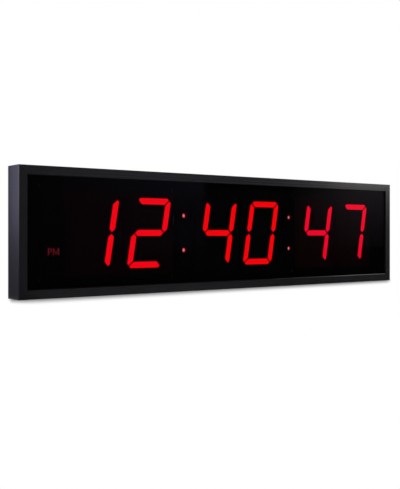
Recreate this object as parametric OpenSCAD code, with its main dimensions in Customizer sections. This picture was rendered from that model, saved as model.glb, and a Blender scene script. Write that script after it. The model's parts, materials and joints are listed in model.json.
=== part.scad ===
// Large wall clock with six slanted seven-segment digits behind a smoked window.
// A mitred aluminium frame holds the window in front and a sheet panel behind.
// Lengths are in millimetres. X runs to the viewer's right, +Y to the wall, +Z up.
// The origin is the middle of the bottom edge, half way through the depth.

/* [Digits] */
// Height of a digit
digit_h = 127; // [100:0.5:150]
// Width of a digit, measured square to its slant
digit_w = 75.4; // [60:0.2:95]
// Width of one segment
segment_t = 11.2; // [8:0.1:16]
// Dark line between two segments that meet
segment_gap = 2.4; // [0.5:0.1:3]
// Corner cut off the outside of a digit
corner_cut = 8.5; // [3:0.5:12]
// Lean of the digits to the right, in degrees
digit_slant = 9.6; // [0:0.1:14]
// Thickness of a segment's diffuser
diffuser_t = 4; // [2:0.5:8]
// Glue seam round a diffuser
diffuser_seam = 0.1; // [0.05:0.05:0.3]
// Depth of a digit housing
housing_depth = 13; // [11.5:0.5:18]
// Housing left beside a digit
housing_side = 3.6; // [2:0.2:8]
// Housing left above and below a digit
housing_end = 11.5; // [6:0.5:16]
// Gap between the two housings of a pair
digit_gap = 6.8; // [2:0.2:20]
// Extra room between two pairs, for the colon
colon_room = 47.1; // [38:0.1:70]

/* [Colons and PM sign] */
// Height between the two lamps of a colon
colon_spacing = 65; // [40:1:80]
// Diameter of a colon lamp
colon_lamp_d = 10; // [5:0.5:12]
// Length of a colon lamp
colon_lamp_l = 10; // [8:0.1:11.5]
// Width of a colon block
colon_block_w = 22; // [16:1:26]
// Block left above and below the colon lamps
colon_block_end = 17.5; // [10:0.5:24]
// Width of the PM light box
pm_box_w = 28; // [26:0.5:36]
// Height of the PM light box
pm_box_h = 20; // [16:0.5:26]
// Wall of the PM light box
pm_wall = 1.2; // [0.8:0.1:2]
// Gap from the PM light box to the first housing
pm_gap = 13.8; // [8:0.1:24]
// Height of the digits' middle over the PM sign
pm_drop = 32; // [0:1:44]
// Height of the PM letters
letter_h = 12.1; // [9:0.1:15]
// Stroke of the PM letters
letter_stroke = 1.2; // [0.8:0.1:1.8]
// Thickness of the PM letters
letter_t = 0.4; // [0.2:0.1:0.8]

/* [Frame] */
// Width of the frame's front face
flange_w = 16; // [13:0.5:24]
// Thickness of the frame's front face
flange_t = 3; // [2:0.5:5]
// Wall of the frame
wall_t = 2; // [1.5:0.1:3]
// Bevel along the frame's front edges
edge_bevel = 0.8; // [0.3:0.1:1.2]
// Window left of the PM light box
left_margin = 35.1; // [22:0.1:60]
// Window right of the last housing
right_margin = 52.8; // [22:0.1:80]
// Window above the housings
top_margin = 21; // [16:0.5:40]
// Window below the housings
bottom_margin = 19; // [16:0.5:40]
// Thickness of the ribs that hold the window and the panel
rib_t = 1.5; // [1:0.1:2]
// Reach of the ribs from the frame's wall
rib_w = 8; // [7.5:0.5:9]
// Rim of the frame behind the panel
rim_d = 4; // [3:0.5:8]
// Dark line at a mitre
mitre_gap = 0.1; // [0.05:0.05:0.3]
// Thickness of the window
lens_t = 3; // [2:0.5:5]
// Play of the window in its groove, each side
lens_play = 0.1; // [0.05:0.05:0.2]
// Space between the window and the digits
display_gap = 0.5; // [0.3:0.1:0.8]
// Thickness of a corner bracket
bracket_t = 2.2; // [1.5:0.1:3]
// Length of a corner bracket's leg
bracket_l = 38; // [32:1:46]
// Lip that a corner bracket bears on
lip_w = 1.6; // [1:0.1:1.8]

/* [Circuit boards] */
// Thickness of the circuit boards
board_t = 1.6; // [1:0.2:2.4]
// Board left above and below the housings
board_end = 13; // [12:0.5:16]
// Board left beside what it carries
board_side = 4; // [3.5:0.5:6]
// Distance of a standoff from its board's edges
standoff_inset = 6; // [5:0.5:7]
// Size of a segment lamp
lamp_s = 3; // [2:0.2:5]
// Height of a segment lamp
lamp_h = 1.6; // [0.8:0.2:3]
// Length of a driver chip
chip_l = 15.4; // [10:0.2:20]
// Width of a driver chip
chip_w = 7.5; // [4:0.5:10]
// Height of a driver chip
chip_h = 1.8; // [1:0.1:3]
// Space between the driver chips and the control board
board_clear = 2; // [1.9:0.1:4]
// Width of the control board
control_w = 160; // [154:1:190]
// Height of the control board
control_h = 84; // [80:1:94]
// Height of the digits' middle over the control board's lower edge
control_drop = 26; // [18:1:32]
// Width of a ribbon cable
ribbon_w = 16; // [8:1:20]
// Thickness of a ribbon cable
ribbon_t = 0.9; // [0.6:0.1:1.4]
// Bow of a ribbon cable
ribbon_bow = 3; // [1:0.5:4]
// Height of a connector over the control board
header_h = 3.7; // [3:0.1:5]

/* [Back panel] */
// Thickness of the back panel
panel_t = 1.5; // [1:0.1:3]
// Space round the back panel
panel_play = 0.4; // [0.2:0.1:0.8]
// Gap between the panel's screws along a long side, at most
panel_screw_pitch = 170; // [110:5:240]
// First panel screw from the frame's corner
panel_screw_end = 50; // [44:1:70]
// Distance between the two hanger plates
hanger_spacing = 600; // [420:10:640]
// Keyhole's entry below the top of the frame
hanger_drop = 48; // [44:1:60]
// Diameter of a keyhole's entry
keyhole_d = 9.5; // [8:0.1:11]
// Width of a keyhole's slot
keyhole_slot = 5; // [4.2:0.1:6]
// Height of a keyhole's slot
keyhole_rise = 9; // [7:0.5:12]
// Thickness of a hanger plate
hanger_t = 1.5; // [1:0.1:2.5]
// Metal beside and below a keyhole
hanger_edge = 15.2; // [14:0.2:20]
// Number of air slots in each group
vent_count = 9; // [3:1:12]
// Width of an air slot
vent_w = 3; // [2:0.5:4]
// Height of an air slot
vent_h = 36; // [20:1:60]
// Middle of an air slot group from the clock's middle
vent_x = 215; // [190:1:225]

/* [Power inlet and buttons] */
// Height of the power jack over its board
jack_h = 11; // [10:0.5:13]
// Width of the power jack
jack_w = 9; // [8.5:0.5:12]
// Length of the power jack
jack_l = 14; // [12:0.5:18]
// Space between the power jack and the back panel
jack_clear = 0.9; // [0.4:0.1:2]
// Height of the jack's axis over its board
jack_axis_h = 6.4; // [5.5:0.1:6.8]
// Diameter of the jack's bore
jack_bore_d = 6.4; // [5.6:0.1:7]
// Diameter of the jack's centre pin
jack_pin_d = 2; // [1.6:0.1:2.6]
// Diameter of the plug that the inlet takes
plug_d = 11; // [8:0.5:12]
// Room for the plug and its cord below the jack
plug_room = 40; // [30:1:44]
// Wall of the inlet cup
cup_wall = 1.5; // [1:0.1:2]
// Width of the cord notch in the frame's lower rim
notch_w = 7; // [5:0.5:10]
// Distance between two buttons
button_pitch = 16; // [13:0.5:20]
// Diameter of a button
button_d = 7; // [5:0.5:8]
// Height of a button over the back panel
button_proud = 2; // [1.2:0.1:2.8]
// Way that a button can be pressed in
button_travel = 0.6; // [0.3:0.1:1]
// Play round a button
button_play = 0.3; // [0.2:0.05:0.5]
// Height of a switch's body
switch_h = 3.5; // [3:0.1:5]

/* [Screws] */
// Diameter of the screws
screw_d = 2.9; // [2.5:0.1:3.2]
// Diameter of a screw's head
screw_head_d = 5.6; // [4.6:0.1:6]
// Height of a screw's head
screw_head_h = 1.8; // [1.4:0.1:1.8]
// Diameter of the grub screws in the corner brackets
grub_d = 3.8; // [3:0.1:4]
// Play round a screw
screw_play = 0.1; // [0.05:0.05:0.2]

/* [Hidden] */
$fn = 48;

// The time on the display, one figure a digit, and the segments that each figure lights
shown_time = [1, 2, 4, 0, 4, 7];
figure_segments = [
    "abcdef", "bc", "abged", "abgcd", "fgbc", "afgcd", "afgedc", "abc", "abcdefg", "abcdfg"
];
all_segments = "abcdefg";

// Digits and the window, from the sizes of what they hold
slant_run = digit_h * tan(digit_slant);
housing_w = digit_w + slant_run + 2 * housing_side;
housing_h = digit_h + 2 * housing_end;
digit_pitch = housing_w + digit_gap;
pair_pitch = 2 * digit_pitch + colon_room;
row_w = 2 * pair_pitch + digit_pitch + housing_w;
window_w = left_margin + pm_box_w + pm_gap + row_w + right_margin;
window_h = bottom_margin + housing_h + top_margin;
frame_w = window_w + 2 * flange_w;
frame_h = window_h + 2 * flange_w;

// Layers of the clock, as depths behind the front face
lens_v0 = flange_t + lens_play;
lens_v1 = lens_v0 + lens_t;
groove_v0 = lens_v1 + lens_play;
groove_v1 = groove_v0 + rib_t;
key_play = 0.2;
lip_v0 = groove_v1 + bracket_t + key_play;
lip_v1 = lip_v0 + rib_t;
display_v0 = lens_v1 + display_gap;
board_v0 = display_v0 + housing_depth;
board_v1 = board_v0 + board_t;
control_v0 = board_v1 + chip_h + board_clear;
control_v1 = control_v0 + board_t;
panel_v0 = control_v1 + jack_h + jack_clear;
panel_v1 = panel_v0 + panel_t;
seat_v0 = panel_v0 - rib_t;
frame_d = panel_v1 + rim_d;

// Places seen from the front
digit_z = flange_w + bottom_margin + housing_h / 2;
pm_x = -frame_w / 2 + flange_w + left_margin + pm_box_w / 2;
pm_z = digit_z - pm_drop;
row_x = pm_x + pm_box_w / 2 + pm_gap;
board_half_h = housing_h / 2 + board_end;
control_x = (colon_x(0) + colon_x(1)) / 2;
control_z0 = digit_z - control_drop;
control_z1 = control_z0 + control_h;
ribbon_up = 50;
ribbon_z = control_z0 + ribbon_up;
ribbon_v = control_v1 + header_h;
connector_w = 6;
connector_inset = 10;
hanger_z = frame_h - hanger_drop;
jack_v = control_v1 + jack_axis_h;
jack_nose_wall = 0.8;
jack_nose_d = jack_bore_d + 2 * jack_nose_wall;
button_inset = 20;
button_z = control_z1 - button_inset;

// The inlet cup, round the plug and hung under the power jack
cup_gap = 0.3;
cup_flange = 8;
cup_lip_t = 1.2;
plug_side = 7.5;
plug_play = 0.5;
cup_in_w = plug_d + 2 * plug_side;
cup_top = control_z0 - cup_gap;
cup_in_top = cup_top - cup_wall;
cup_in_bottom = cup_in_top - plug_room;
cup_in_v = jack_v - plug_d / 2 - plug_play;

// Depth behind the front face, as a place along Y
function depth(v) = v - frame_d / 2;

// Middle of digit i, counted from the left, and of colon k
function digit_x(i) = row_x + housing_w / 2 + floor(i / 2) * pair_pitch + (i % 2) * digit_pitch;
function colon_x(k) = (digit_x(2 * k + 1) + digit_x(2 * k + 2)) / 2;

// Left and right edges of display board k: hours, minutes or seconds
function board_x0(k) =
    k == 0 ? pm_x - pm_box_w / 2 - board_side :
    k == 1 ? colon_x(0) - colon_block_w / 2 - board_side :
    digit_x(4) - housing_w / 2 - board_side;
function board_x1(k) =
    k == 1 ? colon_x(1) + colon_block_w / 2 + board_side :
    digit_x(2 * k + 1) + housing_w / 2 + board_side;

// Standoffs as [x, z], four for a display board and four for the control board
function board_posts(k) = [
    for (x = [board_x0(k) + standoff_inset, board_x1(k) - standoff_inset], side = [-1, 1])
        [x, digit_z + side * (board_half_h - standoff_inset)]
];
function control_posts() = [
    for (side = [-1, 1], z = [control_z0 + standoff_inset, control_z1 - standoff_inset])
        [control_x + side * (control_w / 2 - standoff_inset), z]
];
function display_posts() = [for (k = [0:2]) each board_posts(k)];
function all_posts() = concat(display_posts(), control_posts());

// Panel screws as [x, z], spread along the four seats
seat_u = wall_t + rib_w / 2;
long_gaps = ceil((frame_w - 2 * panel_screw_end) / panel_screw_pitch);
long_step = (frame_w - 2 * panel_screw_end) / long_gaps;
rail_screw_xs = [for (i = [0:long_gaps]) -frame_w / 2 + panel_screw_end + i * long_step];
stile_screw_zs = [frame_h / 2];
function panel_screws() = concat(
    [for (x = rail_screw_xs, z = [seat_u, frame_h - seat_u]) [x, z]],
    [for (z = stile_screw_zs, side = [-1, 1]) [side * (frame_w / 2 - seat_u), z]]
);
function cup_screws() = [
    for (side = [-1, 1])
        [control_x + side * (cup_in_w / 2 + cup_wall + cup_flange / 2), (cup_in_top + cup_in_bottom) / 2]
];

// A keyhole plate's rivets as [x, z] from the keyhole's entry
rivet_d = 3;
rivet_inset = 6;
hanger_half_w = keyhole_d / 2 + hanger_edge;
rivet_x = hanger_half_w - rivet_inset;
rivet_spots = [[-rivet_x, keyhole_rise / 2], [rivet_x, keyhole_rise / 2]];
head_play = 0.75;
hanger_head_d = keyhole_d + 2 * head_play;

// Outlines of the segments, upright, shrunk by k all round
function half_w(k) = digit_w / 2 - k;
function half_h(k) = digit_h / 2 - k;
function bar(k) = segment_t - 2 * k;
function miss(k) = (segment_gap / 2 + k) * sqrt(2);
function cut(k) = corner_cut - (2 - sqrt(2)) * k;
function flipped(points, fx, fy) = [for (p = points) [p.x * fx, p.y * fy]];
function slanted(points) = [for (p = points) [p.x + p.y * tan(digit_slant), p.y]];
function top_bar(k) = let (
    corner = half_w(k) - cut(k),
    tip = half_w(k) - (cut(k) + miss(k)) / 2,
    tip_y = half_h(k) - (cut(k) - miss(k)) / 2,
    inner = half_w(k) - bar(k) - miss(k),
    inner_y = half_h(k) - bar(k)
) [
    [corner, half_h(k)],
    [tip, tip_y],
    [inner, inner_y],
    [-inner, inner_y],
    [-tip, tip_y],
    [-corner, half_h(k)]
];
function side_bar(k) = [
    [half_w(k) - bar(k), half_h(k) - bar(k) - miss(k)],
    [half_w(k) - (cut(k) - miss(k)) / 2, half_h(k) - (cut(k) + miss(k)) / 2],
    [half_w(k), half_h(k) - cut(k)],
    [half_w(k), bar(k) / 2 + miss(k)],
    [half_w(k) - bar(k) / 2, miss(k)],
    [half_w(k) - bar(k), bar(k) / 2 + miss(k)]
];
function middle_bar(k) = let (
    tip = half_w(k) - bar(k) / 2 - miss(k),
    inner = half_w(k) - bar(k) - miss(k),
    y = bar(k) / 2
) [
    [tip, 0],
    [inner, y],
    [-inner, y],
    [-tip, 0],
    [-inner, -y],
    [inner, -y]
];
function segment_outline(s, k) = slanted(
    s == "a" ? top_bar(k) :
    s == "b" ? side_bar(k) :
    s == "c" ? flipped(side_bar(k), 1, -1) :
    s == "d" ? flipped(top_bar(k), 1, -1) :
    s == "e" ? flipped(side_bar(k), -1, -1) :
    s == "f" ? flipped(side_bar(k), -1, 1) :
    middle_bar(k)
);
function is_lit(i, s) = len(search(s, figure_segments[shown_time[i]])) > 0;

// Lamps of a segment, upright, three along its middle
lamp_step_x = 18;
lamp_step_y = 15;
function lamp_row(s) =
    s == "a" ? [for (j = [-1:1]) [j * lamp_step_x, half_h(0) - segment_t / 2]] :
    s == "d" ? flipped(lamp_row("a"), 1, -1) :
    s == "g" ? [for (j = [-1:1]) [j * lamp_step_x, 0]] :
    s == "b" ? [for (j = [-1:1]) [half_w(0) - segment_t / 2, half_h(0) / 2 + j * lamp_step_y]] :
    s == "c" ? flipped(lamp_row("b"), 1, -1) :
    s == "e" ? flipped(lamp_row("b"), -1, -1) :
    flipped(lamp_row("b"), -1, 1);

// A flat outline, drawn as seen from the front, as a plate between two depths
module plate(v0, v1) {
    translate([0, depth(v1), 0])
        rotate([90, 0, 0])
            linear_extrude(height = v1 - v0)
                children();
}

// A round bar along the depth
module rod(place, v0, v1, d) {
    translate([place[0], depth(v0), place[1]])
        rotate([-90, 0, 0])
            cylinder(h = v1 - v0, d = d);
}

// A turned piece along the depth: points are [radius, height over v0]
module turned(place, v0, points) {
    translate([place[0], depth(v0), place[1]])
        rotate([-90, 0, 0])
            rotate_extrude()
                polygon(points);
}

module box_2d(x0, x1, z0, z1) {
    translate([x0, z0])
        square([x1 - x0, z1 - z0]);
}

module dots_2d(spots, d) {
    for (p = spots)
        translate(p)
            circle(d = d);
}

// A screw with a cross recess. Its head lies on depth v. Its shank runs the way given: -1 to the front
module screw(place, v, length, way) {
    recess_l = 0.6 * screw_head_d;
    recess_w = 0.7;
    recess_d = 1;
    top = v - way * screw_head_h;
    difference() {
        union() {
            rod(place, min(v, top), max(v, top), screw_head_d);
            rod(place, min(v, v + way * length), max(v, v + way * length), screw_d);
        }
        for (turn = [0, 90])
            translate([place[0], depth(top), place[1]])
                rotate([0, turn, 0])
                    cube([recess_l, 2 * recess_d, recess_w], center = true);
    }
}

// Cross-section of the frame as [inward from the outside, depth from the front]
frame_profile = [
    [0, edge_bevel],
    [edge_bevel, 0],
    [flange_w - edge_bevel, 0],
    [flange_w, edge_bevel],
    [flange_w, flange_t],
    [wall_t, flange_t],
    [wall_t, groove_v0],
    [wall_t + rib_w, groove_v0],
    [wall_t + rib_w, groove_v1],
    [wall_t, groove_v1],
    [wall_t, lip_v0],
    [wall_t + lip_w, lip_v0],
    [wall_t + lip_w, lip_v1],
    [wall_t, lip_v1],
    [wall_t, seat_v0],
    [wall_t + rib_w, seat_v0],
    [wall_t + rib_w, panel_v0],
    [wall_t, panel_v0],
    [wall_t, frame_d],
    [0, frame_d]
];

module frame_colour() {
    color([0.11, 0.11, 0.12])
        children();
}

// The lower rail, cut at its mitres, with the screw holes of its seat
module rail() {
    past = 1;
    half = frame_w / 2 - mitre_gap / sqrt(2);
    deep = flange_w + past;
    difference() {
        intersection() {
            translate([-frame_w / 2, 0, 0])
                rotate([90, 0, 90])
                    linear_extrude(height = frame_w)
                        polygon([for (p = frame_profile) [depth(p[1]), p[0]]]);
            plate(-past, frame_d + past)
                polygon([
                    [-half - past, -past],
                    [half + past, -past],
                    [half - deep, deep],
                    [-half + deep, deep]
                ]);
        }
        for (x = rail_screw_xs)
            rod([x, seat_u], seat_v0 - past, panel_v0 + past, screw_d + 2 * screw_play);
    }
}

// The left stile, cut at its mitres
module stile() {
    past = 1;
    miss = mitre_gap / sqrt(2);
    deep = flange_w + past;
    left = -frame_w / 2;
    difference() {
        intersection() {
            linear_extrude(height = frame_h)
                polygon([for (p = frame_profile) [left + p[0], depth(p[1])]]);
            plate(-past, frame_d + past)
                polygon([
                    [left - past, miss - past],
                    [left + deep, miss + deep],
                    [left + deep, frame_h - miss - deep],
                    [left - past, frame_h - miss + past]
                ]);
        }
        for (z = stile_screw_zs)
            rod([left + seat_u, z], seat_v0 - past, panel_v0 + past, screw_d + 2 * screw_play);
    }
}

module frame_top_rail() {
    frame_colour()
        translate([0, 0, frame_h])
            mirror([0, 0, 1])
                rail();
}

// The lower rail has a notch in its rim, where the supply cord leaves
module frame_bottom_rail() {
    past = 1;
    frame_colour()
        difference() {
            rail();
            plate(panel_v1, frame_d + past)
                box_2d(control_x - notch_w / 2, control_x + notch_w / 2, -past, wall_t + past);
        }
}

module frame_left_stile() {
    frame_colour()
        stile();
}

module frame_right_stile() {
    frame_colour()
        mirror([1, 0, 0])
            stile();
}

// Corner brackets lie in the frame's groove, drawn against its lip by grub screws
bracket_gap = 0.3;
bracket_u0 = wall_t + bracket_gap;
bracket_u1 = wall_t + rib_w - bracket_gap;
grub_u = wall_t + lip_w + grub_d / 2 + screw_play;
grub_pitch = 14;
grub_end = 10;
grub_steps = [bracket_l - grub_end - grub_pitch, bracket_l - grub_end];
grub_spots = [for (s = grub_steps) each [[grub_u, s], [s, grub_u]]];

module at_corners() {
    for (mx = [0, 1], mz = [0, 1])
        translate([0, 0, mz * frame_h])
            mirror([0, 0, mz])
                mirror([mx, 0, 0])
                    translate([-frame_w / 2, 0, 0])
                        children();
}

module corner_brackets() {
    color("silver")
        at_corners()
            plate(lip_v0 - bracket_t, lip_v0)
                difference() {
                    union() {
                        box_2d(bracket_u0, bracket_u1, bracket_u0, bracket_l);
                        box_2d(bracket_u0, bracket_l, bracket_u0, bracket_u1);
                    }
                    dots_2d(grub_spots, grub_d + 2 * screw_play);
                }
}

module corner_screws() {
    socket_d = 2;
    socket_depth = 1.2;
    color("dimgray")
        at_corners()
            for (p = grub_spots)
                difference() {
                    rod(p, groove_v1, lip_v0, grub_d);
                    rod(p, lip_v0 - socket_depth, lip_v0 + 1, socket_d, $fn = 6);
                }
}

module front_lens() {
    edge_play = 0.6;
    edge = wall_t + edge_play;
    color([0.05, 0.05, 0.06, 0.7])
        plate(lens_v0, lens_v1)
            box_2d(-frame_w / 2 + edge, frame_w / 2 - edge, edge, frame_h - edge);
}

// A black block with seven light wells
module digit_housing(i) {
    color([0.05, 0.05, 0.05])
        translate([digit_x(i), 0, digit_z])
            plate(display_v0, board_v0)
                difference() {
                    box_2d(-housing_w / 2, housing_w / 2, -housing_h / 2, housing_h / 2);
                    for (s = all_segments)
                        polygon(segment_outline(s, 0));
                }
}

// Diffusers in the mouths of the wells
module diffusers(i, lit) {
    translate([digit_x(i), 0, digit_z])
        for (s = all_segments)
            if (is_lit(i, s) == lit)
                plate(display_v0, display_v0 + diffuser_t)
                    polygon(segment_outline(s, diffuser_seam));
}

module lit_segments(i) {
    color([1, 0, 0.05])
        diffusers(i, true);
}

module dark_segments(i) {
    color([0.1, 0.02, 0.02])
        diffusers(i, false);
}

// Colon blocks shade two round lamps each. A lamp's collar sits in a counterbore
collar_out = 0.6;
collar_d = colon_lamp_d + 2 * collar_out;
collar_t = 1;
lamp_play = 0.3;
colon_spots = [
    for (k = [0, 1], side = [-1, 1]) [colon_x(k), digit_z + side * colon_spacing / 2]
];

module colon_blocks() {
    half_block = colon_spacing / 2 + colon_block_end;
    color([0.05, 0.05, 0.05])
        difference() {
            plate(display_v0, board_v0)
                difference() {
                    for (k = [0, 1])
                        box_2d(
                            colon_x(k) - colon_block_w / 2,
                            colon_x(k) + colon_block_w / 2,
                            digit_z - half_block,
                            digit_z + half_block
                        );
                    dots_2d(colon_spots, colon_lamp_d + 2 * lamp_play);
                }
            for (p = colon_spots)
                rod(p, board_v0 - collar_t - lamp_play, board_v0 + 1, collar_d + 2 * lamp_play);
        }
}

module colon_lamps() {
    dome_r = colon_lamp_d / 2;
    dome_v = board_v0 - colon_lamp_l + dome_r;
    color([1, 0.45, 0.5])
        for (p = colon_spots)
            union() {
                rod(p, board_v0 - collar_t, board_v0, collar_d);
                rod(p, dome_v, board_v0 - collar_t, colon_lamp_d);
                intersection() {
                    translate([p[0], depth(dome_v), p[1]])
                        sphere(r = dome_r);
                    rod(p, dome_v - dome_r - 1, dome_v, colon_lamp_d + 2);
                }
            }
}

// The PM sign: a box with a thin front, letters on it and one lamp inside
pm_face_v = display_v0 + letter_t;

module pm_light_box() {
    color([0.06, 0.02, 0.02])
        translate([pm_x, 0, pm_z])
            difference() {
                plate(pm_face_v, board_v0)
                    square([pm_box_w, pm_box_h], center = true);
                plate(pm_face_v + pm_wall, board_v0 + 1)
                    square([pm_box_w - 2 * pm_wall, pm_box_h - 2 * pm_wall], center = true);
            }
}

module letter_p(w) {
    bowl = 0.56 * letter_h;
    r = bowl / 2;
    box_2d(0, letter_stroke, 0, letter_h);
    translate([w - r, letter_h - r])
        difference() {
            circle(r = r);
            circle(r = r - letter_stroke);
            box_2d(-r - 1, 0, -r - 1, r + 1);
        }
    for (z = [letter_h - letter_stroke, letter_h - bowl])
        box_2d(0, w - r, z, z + letter_stroke);
}

module letter_m(w) {
    dip = 0.9 * letter_h;
    shoulder = 1.7 * letter_stroke;
    polygon([
        [0, 0],
        [0, letter_h],
        [letter_stroke, letter_h],
        [w / 2, letter_h - dip + shoulder],
        [w - letter_stroke, letter_h],
        [w, letter_h],
        [w, 0],
        [w - letter_stroke, 0],
        [w - letter_stroke, letter_h - shoulder],
        [w / 2, letter_h - dip],
        [letter_stroke, letter_h - shoulder],
        [letter_stroke, 0]
    ]);
}

module pm_legend() {
    p_w = 6.8;
    m_w = 10.8;
    space = 2.6;
    all_w = p_w + space + m_w;
    color([0.6, 0.05, 0.08])
        translate([pm_x - all_w / 2, 0, pm_z - letter_h / 2])
            plate(display_v0, pm_face_v) {
                letter_p(p_w);
                translate([p_w + space, 0])
                    letter_m(m_w);
            }
}

module pm_lamp() {
    color([1, 0.2, 0.2])
        translate([pm_x, 0, pm_z])
            plate(board_v0 - lamp_h, board_v0)
                square(lamp_s, center = true);
}

// A display board with its four fixing holes
module display_board(k) {
    color([0.05, 0.05, 0.05])
        plate(board_v0, board_v1)
            difference() {
                box_2d(board_x0(k), board_x1(k), digit_z - board_half_h, digit_z + board_half_h);
                dots_2d(board_posts(k), screw_d + 2 * screw_play);
            }
}

module segment_lamps() {
    color([1, 0.3, 0.2])
        for (i = [0:5], s = all_segments, p = slanted(lamp_row(s)))
            translate([digit_x(i) + p.x, 0, digit_z + p.y])
                plate(board_v0 - lamp_h, board_v0)
                    square(lamp_s, center = true);
}

module driver_chips() {
    color([0.08, 0.08, 0.09])
        for (i = [0:5])
            translate([digit_x(i), 0, digit_z])
                plate(board_v1, board_v1 + chip_h)
                    square([chip_l, chip_w], center = true);
}

// Six-sided posts from the panel to the boards, drilled through
module post(place, v0) {
    across = 6.4;
    difference() {
        rod(place, v0, panel_v0, across, $fn = 6);
        rod(place, v0 - 1, panel_v0 + 1, screw_d + 2 * screw_play);
    }
}

module board_standoffs() {
    color("goldenrod") {
        for (p = display_posts())
            post(p, board_v1);
        for (p = control_posts())
            post(p, control_v1);
    }
}

module board_screws() {
    hold = 5;
    color("dimgray") {
        for (p = display_posts())
            screw(p, board_v0, board_t + hold, 1);
        for (p = control_posts())
            screw(p, control_v0, board_t + hold, 1);
    }
}

module standoff_screws() {
    hold = 5;
    color("dimgray")
        for (p = all_posts())
            screw(p, panel_v1, panel_t + hold, -1);
}

module control_board() {
    half = control_w / 2;
    color([0.06, 0.2, 0.1])
        plate(control_v0, control_v1)
            difference() {
                box_2d(control_x - half, control_x + half, control_z0, control_z1);
                dots_2d(control_posts(), screw_d + 2 * screw_play);
            }
}

// Places on the control board, from its middle and its lower edge
function on_control(x, z) = [control_x + x, control_z0 + z];
chip_spot = on_control(0, 36);
crystal_spot = on_control(18, 36);
cell_spot = on_control(-42, 28);
capacitor_spots = [for (x = [36, 48]) on_control(x, 22)];

module microcontroller() {
    size = 12;
    thick = 1.6;
    color([0.08, 0.08, 0.09])
        translate([chip_spot[0], 0, chip_spot[1]])
            plate(control_v1, control_v1 + thick)
                square(size, center = true);
}

// A can with round ends, standing on the board
module clock_crystal() {
    long = 11;
    wide = 4.6;
    tall = 3.5;
    color("silver")
        translate([crystal_spot[0], 0, crystal_spot[1]])
            plate(control_v1, control_v1 + tall) {
                square([wide, long - wide], center = true);
                dots_2d([[0, (wide - long) / 2], [0, (long - wide) / 2]], wide);
            }
}

// A round cup for the coin cell, open towards the panel
cell_d = 20;
cell_t = 3.2;
cell_floor = 1.2;
cell_v0 = control_v1 + cell_floor;
cell_play = 0.2;

module coin_cell_holder() {
    wall = 1.5;
    well_d = cell_d + 2 * cell_play;
    color([0.1, 0.1, 0.1])
        difference() {
            rod(cell_spot, control_v1, cell_v0 + cell_t, well_d + 2 * wall);
            rod(cell_spot, cell_v0, cell_v0 + cell_t + 1, well_d);
        }
}

module coin_cell() {
    color("silver")
        rod(cell_spot, cell_v0, cell_v0 + cell_t, cell_d);
}

module power_capacitors() {
    can_d = 8;
    can_h = 9;
    color([0.1, 0.1, 0.14])
        for (p = capacitor_spots)
            rod(p, control_v1, control_v1 + can_h, can_d);
}

// Connectors under the ends of the ribbon cables, and one straight link to the minute board
control_ends = [
    for (side = [-1, 1]) control_x + side * (control_w / 2 - connector_inset)
];
display_ends = [board_x1(0) - connector_inset, board_x0(2) + connector_inset];

module board_connectors() {
    link_w = 20;
    link_inset = 10;
    link_z = control_z1 - link_inset;
    half = connector_w / 2;
    color([0.12, 0.12, 0.12]) {
        for (x = control_ends)
            plate(control_v1, ribbon_v)
                box_2d(x - half, x + half, ribbon_z - ribbon_w / 2, ribbon_z + ribbon_w / 2);
        for (x = display_ends)
            plate(board_v1, ribbon_v)
                box_2d(x - half, x + half, ribbon_z - ribbon_w / 2, ribbon_z + ribbon_w / 2);
        plate(board_v1, control_v0)
            box_2d(control_x - link_w / 2, control_x + link_w / 2, link_z - half, link_z + half);
    }
}

// A flat cable bowed towards the panel, from one connector to the other
module ribbon(x0, x1) {
    steps = 24;
    bow = [
        for (i = [0:steps])
            [x0 + (x1 - x0) * i / steps, ribbon_v + ribbon_bow * (1 - cos(360 * i / steps)) / 2]
    ];
    upper = [for (i = [steps:-1:0]) bow[i] + [0, ribbon_t]];
    translate([0, 0, ribbon_z - ribbon_w / 2])
        linear_extrude(height = ribbon_w)
            polygon([for (p = concat(bow, upper)) [p.x, depth(p.y)]]);
}

module ribbon_cables() {
    color("lightgray")
        for (side = [0, 1])
            ribbon(display_ends[side], control_ends[side]);
}

// A socket that faces down, with a centre pin. Its nose goes through the cup's upper wall
module power_jack() {
    nose = 2.5;
    bore = 9.5;
    pin_short = 1;
    tip = control_z0 - nose;
    half = jack_w / 2;
    color([0.1, 0.1, 0.1])
        difference() {
            union() {
                plate(control_v1, control_v1 + jack_h)
                    box_2d(control_x - half, control_x + half, control_z0, control_z0 + jack_l);
                translate([control_x, depth(jack_v), tip])
                    cylinder(h = nose + 1, d = jack_nose_d);
            }
            difference() {
                translate([control_x, depth(jack_v), tip - 1])
                    cylinder(h = bore + 1, d = jack_bore_d);
                translate([control_x, depth(jack_v), tip + pin_short])
                    cylinder(h = bore, d = jack_pin_d);
            }
        }
}

// Four switches on the control board, each with a well for its button's stem
stem_d = 3.4;
stem_in = 1;
button_spots = [for (i = [0:3]) [control_x + (i - 1.5) * button_pitch, button_z]];

module button_switches() {
    size = 6.2;
    top = control_v1 + switch_h;
    spare = 0.4;
    color([0.12, 0.12, 0.12])
        for (p = button_spots)
            difference() {
                translate([p[0], 0, p[1]])
                    plate(control_v1, top)
                        square(size, center = true);
                rod(p, top - stem_in - button_travel - spare, top + 1, stem_d + 2 * button_play);
            }
}

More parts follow.
